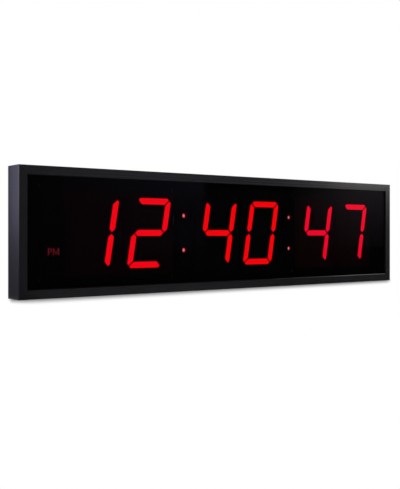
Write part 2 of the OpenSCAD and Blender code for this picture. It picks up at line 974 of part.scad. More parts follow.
// A push button: a stem in its switch, a flange behind the panel and a cap through it
module button(i) {
    flange_gap = 0.1;
    flange_out = 1.5;
    flange_thick = 1;
    bevel = 0.5;
    foot = control_v1 + switch_h - stem_in;
    shoulder = panel_v0 - flange_gap - foot;
    crown = panel_v1 + button_proud - foot;
    color([0.16, 0.16, 0.17])
        turned(button_spots[i], foot, [
            [0, 0],
            [stem_d / 2, 0],
            [stem_d / 2, shoulder - flange_thick],
            [button_d / 2 + flange_out, shoulder - flange_thick],
            [button_d / 2 + flange_out, shoulder],
            [button_d / 2, shoulder],
            [button_d / 2, crown - bevel],
            [button_d / 2 - bevel, crown],
            [0, crown]
        ]);
}

// Outline of a keyhole, from its entry
module keyhole_2d() {
    circle(d = keyhole_d);
    box_2d(-keyhole_slot / 2, keyhole_slot / 2, 0, keyhole_rise);
    translate([0, keyhole_rise])
        circle(d = keyhole_slot);
}

// Room behind a keyhole for the head of the wall screw
module keyhole_room_2d() {
    r = hanger_head_d / 2;
    box_2d(-r, r, -r, keyhole_rise + r);
}

module hanger_plate(side) {
    color("silver")
        translate([side * hanger_spacing / 2, 0, hanger_z])
            plate(panel_v1, panel_v1 + hanger_t)
                difference() {
                    box_2d(-hanger_half_w, hanger_half_w, -hanger_edge, keyhole_rise + hanger_edge);
                    keyhole_2d();
                    dots_2d(rivet_spots, rivet_d + 2 * screw_play);
                }
}

module left_hanger_plate() {
    hanger_plate(-1);
}

module right_hanger_plate() {
    hanger_plate(1);
}

module hanger_rivets() {
    head_d = 5.6;
    head_t = 1.2;
    color("silver")
        for (side = [-1, 1], p = rivet_spots) {
            place = [side * hanger_spacing / 2 + p[0], hanger_z + p[1]];
            rod(place, panel_v0 - head_t, panel_v0, head_d);
            rod(place, panel_v0 - head_t / 2, panel_v1 + hanger_t + head_t / 2, rivet_d);
            rod(place, panel_v1 + hanger_t, panel_v1 + hanger_t + head_t, head_d);
        }
}

module vents_2d() {
    web = 4.8;
    step = vent_w + web;
    straight = vent_h - vent_w;
    for (side = [-1, 1], j = [0:vent_count - 1])
        translate([side * vent_x + (j - (vent_count - 1) / 2) * step, digit_z]) {
            square([vent_w, straight], center = true);
            dots_2d([[0, -straight / 2], [0, straight / 2]], vent_w);
        }
}

module back_panel() {
    edge = wall_t + panel_play;
    fit = 0.2;
    cup_half = cup_in_w / 2 + cup_wall + fit;
    color([0.13, 0.13, 0.14])
        plate(panel_v0, panel_v1)
            difference() {
                box_2d(-frame_w / 2 + edge, frame_w / 2 - edge, edge, frame_h - edge);
                dots_2d(panel_screws(), screw_d + 2 * screw_play);
                dots_2d(all_posts(), screw_d + 2 * screw_play);
                dots_2d(cup_screws(), screw_d + 2 * screw_play);
                dots_2d(button_spots, button_d + 2 * button_play);
                box_2d(
                    control_x - cup_half,
                    control_x + cup_half,
                    cup_in_bottom - cup_wall - fit,
                    cup_top + fit
                );
                for (side = [-1, 1])
                    translate([side * hanger_spacing / 2, hanger_z]) {
                        keyhole_room_2d();
                        dots_2d(rivet_spots, rivet_d + 2 * screw_play);
                    }
                vents_2d();
            }
}

module back_panel_screws() {
    hold = 4;
    color("dimgray")
        for (p = panel_screws())
            screw(p, panel_v1, panel_t + hold, -1);
}

// A cup let into the panel, so that the plug lies below the panel's face
module inlet_cup() {
    half = cup_in_w / 2;
    out = half + cup_wall;
    rim = out + cup_flange;
    past = 1;
    color([0.1, 0.1, 0.1])
        difference() {
            union() {
                plate(cup_in_v - cup_wall, panel_v1)
                    box_2d(control_x - out, control_x + out, cup_in_bottom - cup_wall, cup_top);
                plate(panel_v1, panel_v1 + cup_lip_t)
                    box_2d(
                        control_x - rim,
                        control_x + rim,
                        cup_in_bottom - cup_wall - cup_flange / 2,
                        cup_top + cup_flange / 2
                    );
            }
            plate(cup_in_v, panel_v1 + cup_lip_t + past)
                box_2d(control_x - half, control_x + half, cup_in_bottom, cup_in_top);
            translate([control_x, depth(jack_v), cup_in_top - past])
                cylinder(h = cup_wall + 2 * past, d = jack_nose_d + 2 * cup_gap);
            for (p = cup_screws())
                rod(p, panel_v1 - past, panel_v1 + cup_lip_t + past, screw_d + 2 * screw_play);
        }
}

module inlet_cup_screws() {
    hold = 3;
    color("dimgray")
        for (p = cup_screws())
            screw(p, panel_v1 + cup_lip_t, cup_lip_t + panel_t + hold, -1);
}

frame_top_rail();
frame_bottom_rail();
frame_left_stile();
frame_right_stile();
corner_brackets();
corner_screws();
front_lens();
digit_housing(0);  // hour_tens_housing
lit_segments(0);  // hour_tens_lit_segments
dark_segments(0);  // hour_tens_dark_segments
digit_housing(1);  // hour_ones_housing
lit_segments(1);  // hour_ones_lit_segments
dark_segments(1);  // hour_ones_dark_segments
digit_housing(2);  // minute_tens_housing
lit_segments(2);  // minute_tens_lit_segments
dark_segments(2);  // minute_tens_dark_segments
digit_housing(3);  // minute_ones_housing
lit_segments(3);  // minute_ones_lit_segments
dark_segments(3);  // minute_ones_dark_segments
digit_housing(4);  // second_tens_housing
lit_segments(4);  // second_tens_lit_segments
dark_segments(4);  // second_tens_dark_segments
digit_housing(5);  // second_ones_housing
lit_segments(5);  // second_ones_lit_segments
dark_segments(5);  // second_ones_dark_segments
colon_blocks();
colon_lamps();
pm_light_box();
pm_legend();
pm_lamp();
display_board(0);  // hour_board
display_board(1);  // minute_board
display_board(2);  // second_board
segment_lamps();
driver_chips();
board_standoffs();
board_screws();
standoff_screws();
control_board();
microcontroller();
clock_crystal();
coin_cell_holder();
coin_cell();
power_capacitors();
board_connectors();
ribbon_cables();
power_jack();
button_switches();
back_panel();
back_panel_screws();
left_hanger_plate();
right_hanger_plate();
hanger_rivets();
inlet_cup();
inlet_cup_screws();
button(0);  // set_button
button(1);  // up_button
button(2);  // down_button
button(3);  // dimmer_button
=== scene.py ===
# %% [markdown]
# A wall clock with red figures
#
# This lesson dresses a large clock: a mitred black frame, one smoked window and six digits that
# glow behind it. Every solid already has its shape and its place. What is left for Blender is the
# surface of each piece, a few printed signs on the back, and a camera and light like a studio's.
# Lengths are in metres, and the front of the clock looks along -Y.

import json
from math import atan2, pi

import bmesh
import bpy
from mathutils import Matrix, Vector

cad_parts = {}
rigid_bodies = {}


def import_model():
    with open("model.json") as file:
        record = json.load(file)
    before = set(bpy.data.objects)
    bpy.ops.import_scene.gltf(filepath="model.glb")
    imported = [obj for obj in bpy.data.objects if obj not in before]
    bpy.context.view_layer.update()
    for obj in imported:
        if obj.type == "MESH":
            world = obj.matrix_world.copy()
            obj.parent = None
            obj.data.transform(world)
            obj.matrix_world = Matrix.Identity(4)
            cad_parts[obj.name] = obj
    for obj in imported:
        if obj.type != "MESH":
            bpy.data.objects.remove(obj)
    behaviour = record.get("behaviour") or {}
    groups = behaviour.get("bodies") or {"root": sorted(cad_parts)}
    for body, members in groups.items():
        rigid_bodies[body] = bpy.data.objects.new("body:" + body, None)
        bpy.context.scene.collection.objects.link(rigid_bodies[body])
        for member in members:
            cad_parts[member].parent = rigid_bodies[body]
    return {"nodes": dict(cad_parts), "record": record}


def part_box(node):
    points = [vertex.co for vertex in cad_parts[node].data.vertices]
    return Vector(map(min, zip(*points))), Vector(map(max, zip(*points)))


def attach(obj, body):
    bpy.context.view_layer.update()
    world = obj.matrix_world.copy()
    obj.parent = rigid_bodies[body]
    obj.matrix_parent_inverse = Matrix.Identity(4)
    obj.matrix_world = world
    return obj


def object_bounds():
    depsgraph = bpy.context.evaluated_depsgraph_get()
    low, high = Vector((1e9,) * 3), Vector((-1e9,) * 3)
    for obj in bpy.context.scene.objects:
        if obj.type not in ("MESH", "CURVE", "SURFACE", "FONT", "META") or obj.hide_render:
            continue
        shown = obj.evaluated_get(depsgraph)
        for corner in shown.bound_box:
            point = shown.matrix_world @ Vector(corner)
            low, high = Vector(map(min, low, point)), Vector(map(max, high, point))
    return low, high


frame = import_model()
CAD_LOW, CAD_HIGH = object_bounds()
WIDTH, DEPTH, HEIGHT = CAD_HIGH - CAD_LOW
MM = 0.001
print(f"loaded {len(frame['nodes'])} pieces, {WIDTH:.3f} x {DEPTH:.3f} x {HEIGHT:.3f} m")

# %% [markdown]
# The camera
#
# The clock was seen from its left, level with its middle. Its top and bottom edges run towards one
# horizon and its upright edges stay upright, so the camera isn't tilted: it looks straight ahead,
# and a small shift moves the picture down. The corners of the front face give the distance and the
# focal length. Setting them by numbers keeps the view the same on every run.

# %% Camera
PHOTO_H = 489
FOCAL_PX = 771.5
HORIZON_PX = 232.9
SENSOR_MM = 36
CAMERA_PLACE = Vector((-0.961, -1.209, 0.110))
VIEW_ALONG = Vector((0.591, 0.8067, 0))

camera_data = bpy.data.cameras.new("photo_camera")
camera_data.sensor_fit = "VERTICAL"
camera_data.sensor_height = SENSOR_MM
camera_data.lens = FOCAL_PX / PHOTO_H * SENSOR_MM
camera_data.shift_y = (HORIZON_PX - PHOTO_H / 2) / PHOTO_H
camera = bpy.data.objects.new("photo_camera", camera_data)
camera.location = CAMERA_PLACE
camera.rotation_euler = (pi / 2, 0, -atan2(VIEW_ALONG.x, VIEW_ALONG.y))
bpy.context.scene.collection.objects.link(camera)
bpy.context.scene.camera = camera
bpy.context.scene.view_settings.view_transform = "Standard"
print(f"lens {camera_data.lens:.1f} mm, shift {camera_data.shift_y:.4f}")

# %% [markdown]
# Helpers for nodes
#
# Each finish below starts from a Principled shader and is built up from nodes. A node takes several
# lines of Python, so a few helpers do it in one call: they start a finish, add a node with its
# sockets set or wired, and wire a result to the shader. Patterns are placed by Object coordinates,
# which are metres here, so they keep their real scale on every piece.


# %% Node helpers
def start_finish(name):
    """A new material, with its Principled shader."""
    material = bpy.data.materials.new(name)
    material.use_nodes = True
    return material, material.node_tree.nodes["Principled BSDF"]


def add_node(owner, kind, inputs=None, **settings):
    """A node with its settings, and with its sockets set or linked."""
    node = owner.node_tree.nodes.new(kind)
    for name, value in settings.items():
        setattr(node, name, value)
    for name, value in (inputs or {}).items():
        if isinstance(value, bpy.types.NodeSocket):
            owner.node_tree.links.new(value, node.inputs[name])
        else:
            node.inputs[name].default_value = value
    return node


def link(owner, source, shader, socket):
    """One wire from a result to a shader."""
    owner.node_tree.links.new(source, shader.inputs[socket])


def place_on(material, stretch=(1, 1, 1), turn=(0, 0, 0)):
    """Object coordinates, stretched and turned."""
    where = add_node(material, "ShaderNodeTexCoord")
    mapping = add_node(
        material,
        "ShaderNodeMapping",
        {"Vector": where.outputs["Object"], "Scale": stretch, "Rotation": turn},
    )
    return mapping.outputs["Vector"]


FINISHES = {}
print("node helpers ready")

# %% [markdown]
# Helpers for grain
#
# Four more helpers make the detail. A noise of scale 1000 has spots of about a millimetre. Its
# number runs from 0 to 1, but most of it lies in the middle, so the two helpers that turn it into a
# roughness or a colour stretch that part. The last one raises a bump of a real depth.

# %% Grain helpers
NOISE_LOW, NOISE_HIGH = 0.3, 0.7


def noise(material, where, scale, detail=3.0, rough=0.5):
    """Soft random spots, as a number from 0 to 1."""
    spots = add_node(
        material,
        "ShaderNodeTexNoise",
        {"Vector": where, "Scale": scale, "Detail": detail, "Roughness": rough},
    )
    return spots.outputs["Fac"]


def spread(owner, value, low, high, start=NOISE_LOW, stop=NOISE_HIGH):
    """A number moved from start..stop to low..high."""
    ranged = add_node(
        owner,
        "ShaderNodeMapRange",
        {"Value": value, "From Min": start, "From Max": stop, "To Min": low, "To Max": high},
    )
    return ranged.outputs["Result"]


def tint(material, value, dark, light, start=NOISE_LOW, stop=NOISE_HIGH):
    """A colour between two, picked by a number."""
    ramp = add_node(material, "ShaderNodeValToRGB", {"Fac": value})
    for end, position, colour in zip(ramp.color_ramp.elements, (start, stop), (dark, light)):
        end.position = position
        end.color = (*colour, 1)
    return ramp.outputs["Color"]


def raise_grain(material, shader, height, depth_mm, strength=1.0):
    """A bump of a real depth on the shader's normal."""
    bump = add_node(
        material,
        "ShaderNodeBump",
        {"Height": height, "Distance": depth_mm * MM, "Strength": strength},
    )
    link(material, bump.outputs["Normal"], shader, "Normal")


print("grain helpers ready")

# %% [markdown]
# Faces of the frame that look different
#
# The frame has one dye, but not one finish. Its narrow bevels are smoother, and the faces that look
# up are the dullest. The bevels and the lip round the window also get painted shade: a darker colour
# on the bevels and a near-black one on the lip. The solids stay as they are, so these faces get no
# materials of their own: the finish finds them. The normal tells which way a face looks, and the lip
# is all that lies close to the window's opening.

# %% Frame faces
HALF_FORWARD = -0.707
FACING_SLACK = 0.1
NEARLY_UP = 0.9
LIP_REACH = 0.9 * MM
ANY_DEPTH = 1.0
OPENING_X = -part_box("frame_left_stile")[1].x
OPENING_Z = HEIGHT / 2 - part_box("frame_bottom_rail")[1].z
LIP_HALF = (OPENING_X + LIP_REACH, ANY_DEPTH, OPENING_Z + LIP_REACH)


def pick(material, value, test, limit, slack=0.0):
    """1 where a number passes a test, 0 elsewhere."""
    passed = add_node(material, "ShaderNodeMath", {0: value, 1: limit, 2: slack}, operation=test)
    return passed.outputs["Value"]


def facing(material, axis):
    """How far a face looks along an axis, from -1 to 1."""
    normal = add_node(material, "ShaderNodeNewGeometry").outputs["Normal"]
    return add_node(material, "ShaderNodeSeparateXYZ", {"Vector": normal}).outputs[axis]


def find_bevel(material):
    """1 on the bevels that face half forwards, 0 elsewhere."""
    return pick(material, facing(material, "Y"), "COMPARE", HALF_FORWARD, FACING_SLACK)


def find_top(material):
    """1 on the faces that look up, 0 elsewhere."""
    return pick(material, facing(material, "Z"), "GREATER_THAN", NEARLY_UP)


def find_lip(material):
    """1 on the lip round the window, 0 elsewhere."""
    where = add_node(material, "ShaderNodeTexCoord").outputs["Object"]
    to_middle = ("SUBTRACT", (0, 0, HEIGHT / 2))
    to_edge = ("SUBTRACT", LIP_HALF)
    for operation, by in (to_middle, ("ABSOLUTE", (0, 0, 0)), to_edge):
        step = add_node(material, "ShaderNodeVectorMath", {0: where, 1: by}, operation=operation)
        where = step.outputs["Vector"]
    past = add_node(material, "ShaderNodeSeparateXYZ", {"Vector": where}).outputs
    most = add_node(material, "ShaderNodeMath", {0: past["X"], 1: past["Z"]}, operation="MAXIMUM")
    return pick(material, most.outputs["Value"], "LESS_THAN", 0.0)


print(f"window opening {2 * OPENING_X:.3f} x {2 * OPENING_Z:.3f} m")

# %% [markdown]
# The frame's black anodising
#
# The frame is extruded aluminium, sanded fine and dyed black. Up close it has faint draw lines along
# its length and a satin, slightly cloudy gloss. The same finish is made twice, with the lines along
# X for the rails and along Z for the stiles, because the mitre shows where the grain turns. The
# rails are the smoother of the two, and the stiles are coloured darker, which is painted shade. The
# bevels get painted shade too, dark but for a thin flash where a lamp meets them, and the lip a
# blacker painted shade, for a cut edge out of the light.

# %% Anodised frame
ALONG_LINES, ACROSS_LINES = 2, 900
# Painted shade: a darker colour for the bevels, and a near-black one for the lip.
BEVEL_PAINTED_SHADE = (0.0075, 0.0075, 0.0090, 1)
BEVEL_ROUGH = (0.20, 0.26)
LIP_PAINTED_SHADE = (0.0015, 0.0015, 0.0018, 1)
TOP_ROUGH = (0.52, 0.60)


def blend_in(material, amount, plain, other):
    """One colour where amount is 0 and another where it is 1."""
    mixed = add_node(
        material, "ShaderNodeMix", {"Factor": amount, "A": plain, "B": other}, data_type="RGBA"
    )
    return mixed.outputs["Result"]


def make_anodised(name, stretch, rough, dark, light):
    material, shader = start_finish(name)
    lines = noise(material, place_on(material, stretch), scale=1.0, detail=2.0)
    cloud = noise(material, place_on(material), scale=35.0, detail=5.0)
    bevel = find_bevel(material)
    # The bevel and lip colours are painted shade over the frame's own black.
    colour = blend_in(material, bevel, tint(material, cloud, dark, light), BEVEL_PAINTED_SHADE)
    colour = blend_in(material, find_lip(material), colour, LIP_PAINTED_SHADE)
    link(material, colour, shader, "Base Color")
    dull = spread(material, lines, *rough)
    dull = spread(material, bevel, dull, spread(material, lines, *BEVEL_ROUGH), 0.0, 1.0)
    dull = spread(material, find_top(material), dull, spread(material, lines, *TOP_ROUGH), 0.0, 1.0)
    link(material, dull, shader, "Roughness")
    raise_grain(material, shader, lines, depth_mm=0.004, strength=0.2)
    return material


FINISHES["frame_rail"] = make_anodised(
    "anodised black, grain along X",
    stretch=(ALONG_LINES, ACROSS_LINES, ACROSS_LINES),
    rough=(0.26, 0.28),
    dark=(0.0104, 0.0102, 0.0112),
    light=(0.0132, 0.0130, 0.0142),
)
# The stiles' darker colour is painted shade: the same black metal as the rails, coloured darker.
FINISHES["frame_stile"] = make_anodised(
    "anodised black, grain along Z",
    stretch=(ACROSS_LINES, ACROSS_LINES, ALONG_LINES),
    rough=(0.36, 0.46),
    dark=(0.0076, 0.0074, 0.0088),
    light=(0.0100, 0.0098, 0.0112),
)
print("anodised finishes: rail and stile")

# %% [markdown]
# The smoked window
#
# The window is one sheet of dark acrylic. Light crosses both of its faces, so an Alpha of 0.6
# lets through 0.4 times 0.4, about a sixth of what glows behind it: the digits get through, and
# all the rest stays black. Glass-like transmission would be another way, but a plain Alpha
# travels to other programs. Wiped acrylic keeps faint smears, which only change its roughness.

# %% Smoked window
WINDOW_ALPHA = 0.6
LIGHT_THROUGH = (1 - WINDOW_ALPHA) ** 2
SMEAR_STRETCH = (6, 1, 22)


def make_smoked_window():
    material, shader = start_finish("smoked acrylic")
    shader.inputs["Base Color"].default_value = (0.0015, 0.0015, 0.0020, 1)
    shader.inputs["Alpha"].default_value = WINDOW_ALPHA
    shader.inputs["Specular IOR Level"].default_value = 0.4
    smears = noise(material, place_on(material, SMEAR_STRETCH), scale=1.0, detail=6.0, rough=0.6)
    link(material, spread(material, smears, low=0.02, high=0.06), shader, "Roughness")
    return material


FINISHES["smoked_window"] = make_smoked_window()
print(f"window lets {LIGHT_THROUGH:.2f} of the light through")

# %% [markdown]
# The digits' mouldings
#
# A digit is a matt black moulding with seven wells, each closed by a diffuser. The mouldings carry
# painted light: a weak red emission, though they are no lamps, stronger in one pair of digits than
# in another, so each pair has its own moulding.

# %% Digit mouldings
FULL_RED = (1.0, 0.0004, 0.0065, 1)
# Painted glow: a weak red emission on the mouldings, which are no lamps.
PAIR_PAINTED_GLOWS = {"hour": 0.006, "minute": 0.0, "second": 0.010}


def set_glow(shader, colour, strength):
    """Light that a surface gives off by itself."""
    shader.inputs["Emission Color"].default_value = colour
    shader.inputs["Emission Strength"].default_value = strength


# The moulding's glow is painted light, not a lamp.
def make_digit_moulding(name, painted_glow):
    material, shader = start_finish(name)
    grain = noise(material, place_on(material), scale=2200.0, detail=2.0)
    cloud = noise(material, place_on(material), scale=60.0)
    colour = tint(material, cloud, dark=(0.002, 0.002, 0.002), light=(0.004, 0.004, 0.004))
    link(material, colour, shader, "Base Color")
    link(material, spread(material, grain, low=0.60, high=0.80), shader, "Roughness")
    raise_grain(material, shader, grain, depth_mm=0.02)
    set_glow(shader, FULL_RED, painted_glow)
    return material


FINISHES["digit_black"] = make_digit_moulding("matt black moulding", painted_glow=0.0)
for pair, painted_glow in PAIR_PAINTED_GLOWS.items():
    FINISHES[f"{pair}_housing"] = make_digit_moulding(f"matt black moulding, {pair}s", painted_glow)
print(f"digit mouldings: plain and for {len(PAIR_PAINTED_GLOWS)} pairs")

# %% [markdown]
# The digits' diffusers
#
# Lit diffusers carry an emission strong enough to be full red after the window. Dark ones are the
# same milky plastic, stained almost black, with the same painted glow as the moulding round them, so
# that the unlit segments don't show. Both have the fine pebbled face that diffusers are moulded
# with: small Voronoi cells give that better than a noise does. Each pair of digits has its own red:
# the minutes are the purest and the seconds the pinkest.

# %% Diffusers
PAIR_REDS = {
    "hour": FULL_RED,
    "minute": (1.0, 0.0004, 0.0022, 1),
    "second": (0.97, 0.0004, 0.0240, 1),
}
DIGIT_GLOW = 0.85 / LIGHT_THROUGH
PEBBLES = 1400.0
PEBBLE_EDGE = 0.8
DARK_PLASTIC = {"dark": (0.006, 0.002, 0.002), "light": (0.010, 0.004, 0.004)}
LIT_PLASTIC = {"dark": (0.45, 0.0, 0.010), "light": (0.60, 0.01, 0.020)}


def make_diffuser(name, dark, light):
    material, shader = start_finish(name)
    cells = add_node(
        material, "ShaderNodeTexVoronoi", {"Vector": place_on(material), "Scale": PEBBLES}
    ).outputs["Distance"]
    link(material, tint(material, cells, light, dark, 0.0, PEBBLE_EDGE), shader, "Base Color")
    link(material, spread(material, cells, 0.35, 0.55, 0.0, PEBBLE_EDGE), shader, "Roughness")
    raise_grain(material, shader, cells, depth_mm=0.03, strength=0.6)
    return material, shader


for pair, red in PAIR_REDS.items():
    FINISHES[f"{pair}_dark"], shader = make_diffuser(f"dark diffuser, {pair}s", **DARK_PLASTIC)
    # The dark diffusers get the same painted glow as their moulding.
    set_glow(shader, FULL_RED, PAIR_PAINTED_GLOWS[pair])
    FINISHES[f"{pair}_lit"], shader = make_diffuser(f"lit diffuser, {pair}s", **LIT_PLASTIC)
    set_glow(shader, red, DIGIT_GLOW)
print(f"lit segments glow at {DIGIT_GLOW:.1f}")

# %% [markdown]
# Lamps and the PM sign
#
# The colons are bare lamps of clear resin. The core shines almost white through the front of the
# dome, so it looks pink there, and the sides are red. The normal tells one from the other, so the
# colours keep their place from any side. The PM letters are a thin film with one small lamp far
# behind, and glow weakly. The little lamps on the boards sit in the wells, out of sight: they are
# milky squares.

# %% Lamp finishes
COLON_GLOW = 0.66 / LIGHT_THROUGH
SIGN_GLOW = 0.11 / LIGHT_THROUGH
BOARD_GLOW = 0.2
CORE_TO_RIM = (-0.97, -0.75)
COLON_CORE, COLON_RIM = (1.0, 0.27, 0.345, 1), (0.75, 0.0, 0.012)


def make_lamp(name, core, glow, rim=None):
    material, shader = start_finish(name)
    swirl = noise(material, place_on(material), scale=500.0)
    resin = tint(material, swirl, dark=(0.70, 0.12, 0.16), light=(0.85, 0.25, 0.28))
    link(material, resin, shader, "Base Color")
    link(material, spread(material, swirl, low=0.10, high=0.22), shader, "Roughness")
    set_glow(shader, core, glow)
    if rim is not None:
        side = spread(material, facing(material, "Y"), 0.0, 1.0, *CORE_TO_RIM)
        link(material, tint(material, side, core[:3], rim, 0.0, 1.0), shader, "Emission Color")
    return material


FINISHES["colon_lamp"] = make_lamp("clear lamp, lit", COLON_CORE, COLON_GLOW, COLON_RIM)
FINISHES["sign_lit"] = make_lamp("sign film, lit", (1.0, 0.03, 0.045, 1), SIGN_GLOW)
FINISHES["board_lamp"] = make_lamp("milky board lamp", (1.0, 0.05, 0.05, 1), BOARD_GLOW)
print("lamp finishes: colon, sign and board lamps")

# %% [markdown]
# Circuit boards
#
# The boards have resist over copper, so their tracks show as a slightly paler tone. It is black on
# the display boards, to be lost behind the window, and green on the control board. A Brick texture
# with long thin bricks draws such tracks without any drawing.

# %% Board finishes
TRACK_SCALE = 90.0
UPRIGHT = (pi / 2, 0, 0)


def make_circuit_board(name, resist, track):
    material, shader = start_finish(name)
    tracks = add_node(
        material,
        "ShaderNodeTexBrick",
        {
            "Vector": place_on(material, turn=UPRIGHT),
            "Scale": TRACK_SCALE,
            "Mortar Size": 0.03,
            "Color1": (*resist, 1),
            "Color2": (*resist, 1),
            "Mortar": (*track, 1),
            "Brick Width": 1.6,
            "Row Height": 0.22,
        },
    ).outputs
    link(material, tracks["Color"], shader, "Base Color")
    link(material, spread(material, tracks["Fac"], 0.30, 0.42, 0.0, 1.0), shader, "Roughness")
    raise_grain(material, shader, tracks["Fac"], depth_mm=0.03)
    return material


FINISHES["circuit_board"] = make_circuit_board(
    "green board", resist=(0.013, 0.065, 0.028), track=(0.030, 0.120, 0.050)
)
FINISHES["display_board"] = make_circuit_board(
    "black board", resist=(0.0025, 0.0025, 0.0025), track=(0.005, 0.005, 0.005)
)
print("board finishes: green and black resist")

# %% [markdown]
# Chips, cans and cables
#
# Chips and connectors are dull moulded plastic, and a capacitor's can has a glossier sleeve. One
# recipe does for all mouldings: a fine grain for the gloss and a soft cloud for the colour. A flat
# cable is a row of round wires: a Wave texture across its width gives the ridges.


# %% Chip and cable finishes
def make_moulding(name, dark, light, rough, grain_scale=1800.0):
    material, shader = start_finish(name)
    grain = noise(material, place_on(material), grain_scale, detail=2.0)
    cloud = noise(material, place_on(material), scale=80.0)
    link(material, tint(material, cloud, dark, light), shader, "Base Color")
    link(material, spread(material, grain, *rough), shader, "Roughness")
    raise_grain(material, shader, grain, depth_mm=0.015)
    return material


def make_flat_cable():
    material, shader = start_finish("grey flat cable")
    wires = add_node(
        material,
        "ShaderNodeTexWave",
        {"Vector": place_on(material), "Scale": 250.0, "Distortion": 0.0},
        bands_direction="Z",
    ).outputs["Fac"]
    colour = tint(material, wires, (0.20, 0.20, 0.21), (0.42, 0.42, 0.44), 0.0, 0.6)
    link(material, colour, shader, "Base Color")
    link(material, spread(material, wires, 0.60, 0.42, 0.0, 1.0), shader, "Roughness")
    raise_grain(material, shader, wires, depth_mm=0.3)
    return material


FINISHES["chip_black"] = make_moulding(
    "chip resin", (0.010, 0.010, 0.011), (0.018, 0.018, 0.019), rough=(0.45, 0.65)
)
FINISHES["can_sleeve"] = make_moulding(
    "can sleeve", (0.012, 0.013, 0.040), (0.018, 0.020, 0.060), rough=(0.25, 0.40), grain_scale=900.0
)
FINISHES["ribbon_grey"] = make_flat_cable()
print("chip and cable finishes: resin, sleeve and flat cable")

# %% [markdown]
# Metal fittings
#
# Brass posts are turned, the hanger plates, rivets and corner brackets are zinc plated, and all the
# screws are blackened. Zinc settles in large flat crystals that reflect a little differently, so
# its colour and roughness come from Voronoi cells. The others are brushed by a stretched noise.

# %% Metal finishes
CRYSTALS = 260.0
SCRATCH_STRETCH = (40, 900, 900)
BRUSH_STRETCH = (700, 60, 700)


def make_zinc():
    material, shader = start_finish("zinc plating")
    crystals = add_node(
        material, "ShaderNodeTexVoronoi", {"Vector": place_on(material), "Scale": CRYSTALS}
    ).outputs["Color"]
    shade = add_node(material, "ShaderNodeSeparateXYZ", {"Vector": crystals}).outputs["X"]
    scratches = noise(material, place_on(material, SCRATCH_STRETCH), scale=1.0, detail=4.0)
    colour = tint(material, shade, (0.42, 0.43, 0.45), (0.60, 0.61, 0.63), 0.0, 1.0)
    link(material, colour, shader, "Base Color")
    shader.inputs["Metallic"].default_value = 1.0
    link(material, spread(material, shade, 0.28, 0.44, 0.0, 1.0), shader, "Roughness")
    raise_grain(material, shader, scratches, depth_mm=0.004)
    return material


def make_brushed(name, dark, light, rough):
    material, shader = start_finish(name)
    lines = noise(material, place_on(material, BRUSH_STRETCH), scale=1.0, detail=4.0)
    link(material, tint(material, lines, dark, light), shader, "Base Color")
    shader.inputs["Metallic"].default_value = 1.0
    link(material, spread(material, lines, *rough), shader, "Roughness")
    raise_grain(material, shader, lines, depth_mm=0.004)
    return material


FINISHES["zinc_steel"] = make_zinc()
FINISHES["brass_post"] = make_brushed(
    "turned brass", (0.55, 0.38, 0.14), (0.72, 0.52, 0.22), rough=(0.25, 0.40)
)
FINISHES["dark_steel"] = make_brushed(
    "blackened steel", (0.030, 0.030, 0.032), (0.060, 0.060, 0.064), rough=(0.35, 0.55)
)
print("metal finishes: zinc, brass and blackened steel")

# %% [markdown]
# The back
#
# The back panel is sheet steel with black powder paint. Powder melts into a skin like orange peel,
# with soft bumps about a millimetre wide. The jack and its cup are plain black mouldings, and the
# buttons a slightly paler one with a coarser grain. The printed signs get a pale ink.


# %% Back finishes
def make_powder_paint():
    material, shader = start_finish("black powder paint")
    peel = noise(material, place_on(material), scale=700.0, detail=1.5)
    cloud = noise(material, place_on(material), scale=9.0, detail=4.0)
    colour = tint(material, cloud, dark=(0.016, 0.016, 0.017), light=(0.023, 0.023, 0.024))
    link(material, colour, shader, "Base Color")
    link(material, spread(material, peel, low=0.42, high=0.58), shader, "Roughness")
    raise_grain(material, shader, peel, depth_mm=0.05)
    return material


FINISHES["panel_black"] = make_powder_paint()
FINISHES["jack_black"] = make_moulding(
    "jack moulding", (0.012, 0.012, 0.013), (0.018, 0.018, 0.019), rough=(0.40, 0.60)
)
FINISHES["button_grey"] = make_moulding(
    "button moulding", (0.045, 0.045, 0.048), (0.065, 0.065, 0.069), (0.50, 0.70), grain_scale=1200.0
)
FINISHES["panel_print"] = make_moulding(
    "pale print", (0.50, 0.50, 0.50), (0.62, 0.62, 0.62), (0.55, 0.75), grain_scale=3000.0
)
print("back finishes: paint, mouldings and print")

# %% [markdown]
# Finishes on the pieces
#
# The record of the part names a finish for every piece. Most finishes go straight on by that
# name. A few names cover pieces that look different here, so these are sorted by piece first.

# %% Dress the pieces
OWN_FINISH = {
    "frame_top_rail": "frame_rail",
    "frame_bottom_rail": "frame_rail",
    "frame_left_stile": "frame_stile",
    "frame_right_stile": "frame_stile",
    "colon_lamps": "colon_lamp",
    "segment_lamps": "board_lamp",
    "pm_lamp": "board_lamp",
}
for pair in PAIR_REDS:
    for place in ("tens", "ones"):
        OWN_FINISH[f"{pair}_{place}_housing"] = f"{pair}_housing"
        OWN_FINISH[f"{pair}_{place}_lit_segments"] = f"{pair}_lit"
        OWN_FINISH[f"{pair}_{place}_dark_segments"] = f"{pair}_dark"


def dress(piece, finish):
    """The finish in every material slot of a piece."""
    if not piece.material_slots:
        piece.data.materials.append(finish)
    for slot in piece.material_slots:
        slot.material = finish


for subpart in frame["record"]["subparts"]:
    node = subpart["node"]
    dress(frame["nodes"][node], FINISHES[OWN_FINISH.get(node, subpart["material_slot"])])

# %% [markdown]
# Signs for the buttons
#
# Above each button the panel carries a small printed sign: a clock face for setting, a plus, a
# minus, and a sun for the brightness. The usual sign for direct current marks the inlet. Print
# could be a texture, but a film of its own keeps a clean edge from any distance. A sign starts flat
# on the panel, as a small square or as a ring, which is a filled circle whose inset middle is
# deleted. Both are left open in edit mode.

